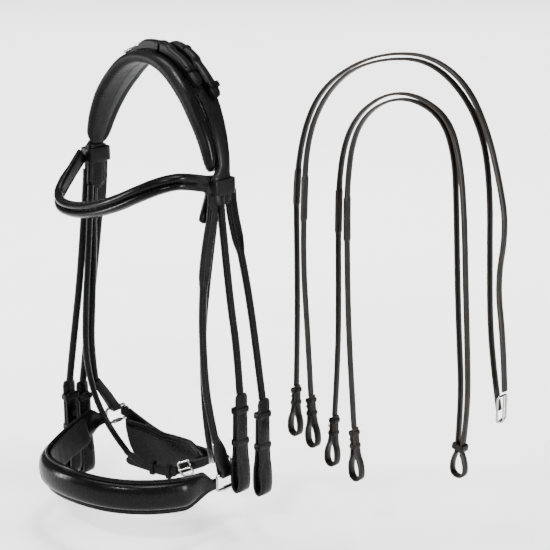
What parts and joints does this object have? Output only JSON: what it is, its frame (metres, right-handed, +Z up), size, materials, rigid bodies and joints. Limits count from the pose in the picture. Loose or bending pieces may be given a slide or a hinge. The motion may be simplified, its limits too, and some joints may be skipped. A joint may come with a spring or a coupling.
{
  "type": "double bridle",
  "caption": "Black leather bridle with padded headpiece, curved browband, padded noseband, chin strap, throatlash, paired cheekpieces and two pairs of reins.",
  "frame": {"origin": "underside of the crown, midway between the cheeks, where the headpiece rests on the poll", "axes": "+X to the near (left) side of the horse, +Y to the rear, +Z up; the horse faces -Y"},
  "size_m": [0.575, 0.2532, 0.5792],
  "materials": {
    "bridle_leather": "waxed, semi-gloss",
    "soft_leather": "soft, matt",
    "rein_leather": "satin",
    "steel": "polished"
  },
  "bodies": {
    "headpiece": {"headpiece_padding": "soft_leather", "headpiece_strap": "bridle_leather", "poll_front_strap": "bridle_leather", "poll_front_keepers": "bridle_leather", "poll_front_buckle": "steel", "poll_rear_strap": "bridle_leather", "poll_rear_keepers": "bridle_leather", "poll_rear_buckle": "steel"},
    "poll_front_prong_body": {"poll_front_prong": "steel"},
    "poll_rear_prong_body": {"poll_rear_prong": "steel"},
    "browband_body": {"browband": "bridle_leather", "near_browband_loop": "bridle_leather", "far_browband_loop": "bridle_leather"},
    "noseband_body": {"noseband_front": "bridle_leather", "noseband_lining": "soft_leather", "near_noseband_ring": "steel", "far_noseband_ring": "steel", "near_noseband_hanger": "bridle_leather", "far_noseband_hanger": "bridle_leather"},
    "chin_strap_body": {"chin_pad": "soft_leather", "chin_strap": "bridle_leather", "chin_keepers": "bridle_leather", "chin_buckle": "steel"},
    "chin_prong_body": {"chin_prong": "steel"},
    "throatlash_body": {"throatlash_far": "bridle_leather", "throatlash_near": "bridle_leather", "throatlash_keepers": "bridle_leather", "throatlash_buckle": "steel"},
    "throatlash_prong_body": {"throatlash_prong": "steel"},
    "near_bridoon_body": {"near_bridoon_cheekpiece": "bridle_leather", "near_bridoon_keepers": "bridle_leather", "near_bridoon_stud": "steel"},
    "near_curb_body": {"near_curb_cheekpiece": "bridle_leather", "near_curb_keepers": "bridle_leather", "near_curb_stud": "steel"},
    "far_bridoon_body": {"far_bridoon_cheekpiece": "bridle_leather", "far_bridoon_keepers": "bridle_leather", "far_bridoon_stud": "steel"},
    "far_curb_body": {"far_curb_cheekpiece": "bridle_leather", "far_curb_keepers": "bridle_leather", "far_curb_stud": "steel"},
    "outer_reins_body": {"outer_rein_long": "rein_leather", "outer_rein_long_billet": "rein_leather", "outer_rein_long_keepers": "rein_leather", "outer_rein_short": "rein_leather", "outer_rein_short_billet": "rein_leather", "outer_rein_short_keepers": "rein_leather", "outer_rein_studs": "steel", "outer_rein_buckle": "steel"},
    "inner_reins_body": {"inner_rein_long": "rein_leather", "inner_rein_long_billet": "rein_leather", "inner_rein_long_keepers": "rein_leather", "inner_rein_short": "rein_leather", "inner_rein_short_billet": "rein_leather", "inner_rein_short_keepers": "rein_leather", "inner_rein_studs": "steel", "inner_rein_hand_loop": "rein_leather"},
    "outer_rein_prong_body": {"outer_rein_prong": "steel"},
    "inner_rein_slider_body": {"inner_rein_slider": "rein_leather"}
  },
  "joints": [
    {"name": "poll_front_prong_hinge", "type": "hinge", "parent": "headpiece", "child": "poll_front_prong_body", "pos_m": [-0.04843, 0.008, 0.00516], "axis": [0, -1, 0], "range_deg": [0, 70]},
    {"name": "poll_rear_prong_hinge", "type": "hinge", "parent": "headpiece", "child": "poll_rear_prong_body", "pos_m": [-0.02787, 0.0245, 0.01556], "axis": [0, -1, 0], "range_deg": [0, 70]},
    {"name": "browband_slide", "type": "slide", "parent": "headpiece", "child": "browband_body", "axis": [0, 0, 1], "range_m": [-0.003, 0]},
    {"name": "noseband_swing", "type": "hinge", "parent": "headpiece", "child": "noseband_body", "pos_m": [0, -0.004, -0.148], "axis": [1, 0, 0], "range_deg": [-0.4, 1]},
    {"name": "chin_strap_swing", "type": "hinge", "parent": "noseband_body", "child": "chin_strap_body", "pos_m": [0.104, 0.028, -0.487], "axis": [0.9949, -0.0096, -0.1004], "range_deg": [-6, 8]},
    {"name": "chin_prong_hinge", "type": "hinge", "parent": "chin_strap_body", "child": "chin_prong_body", "pos_m": [0.06324, 0.04854, -0.4865], "axis": [0, 0, 1], "range_deg": [0, 70]},
    {"name": "throatlash_swing", "type": "hinge", "parent": "headpiece", "child": "throatlash_body", "pos_m": [0, -0.0045, -0.173], "axis": [0.9965, 0.0839, 0], "range_deg": [-2, 0.4]},
    {"name": "throatlash_prong_hinge", "type": "hinge", "parent": "throatlash_body", "child": "throatlash_prong_body", "pos_m": [0.01597, 0.01733, -0.50481], "axis": [0.4063, 0.118, -0.9061], "range_deg": [0, 70]},
    {"name": "near_bridoon_swing", "type": "hinge", "parent": "headpiece", "child": "near_bridoon_body", "pos_m": [0.113, 0.001, -0.148], "axis": [0, -1, 0], "range_deg": [0, 20]},
    {"name": "near_curb_swing", "type": "hinge", "parent": "headpiece", "child": "near_curb_body", "pos_m": [0.113, 0.016, -0.148], "axis": [0, -1, 0], "range_deg": [0, 20]},
    {"name": "far_bridoon_swing", "type": "hinge", "parent": "headpiece", "child": "far_bridoon_body", "pos_m": [-0.113, -0.009, -0.148], "axis": [0, 1, 0], "range_deg": [0, 20]},
    {"name": "far_curb_swing", "type": "hinge", "parent": "headpiece", "child": "far_curb_body", "pos_m": [-0.113, 0.015, -0.148], "axis": [0, 1, 0], "range_deg": [0, 20]},
    {"name": "outer_reins_lift_off", "type": "slide", "parent": "headpiece", "child": "outer_reins_body", "axis": [0, 1, 0], "range_m": [0, 0.15]},
    {"name": "outer_rein_prong_hinge", "type": "hinge", "parent": "outer_reins_body", "child": "outer_rein_prong_body", "pos_m": [0.4332, 0.1, -0.336], "axis": [0, 1, 0], "range_deg": [0, 70]},
    {"name": "inner_reins_lift_off", "type": "slide", "parent": "headpiece", "child": "inner_reins_body", "axis": [0, 1, 0], "range_m": [0, 0.15]},
    {"name": "inner_rein_slider_slide", "type": "slide", "parent": "inner_reins_body", "child": "inner_rein_slider_body", "axis": [0.0867, 0, 0.9962], "range_m": [0, 0.025]}
  ]
}
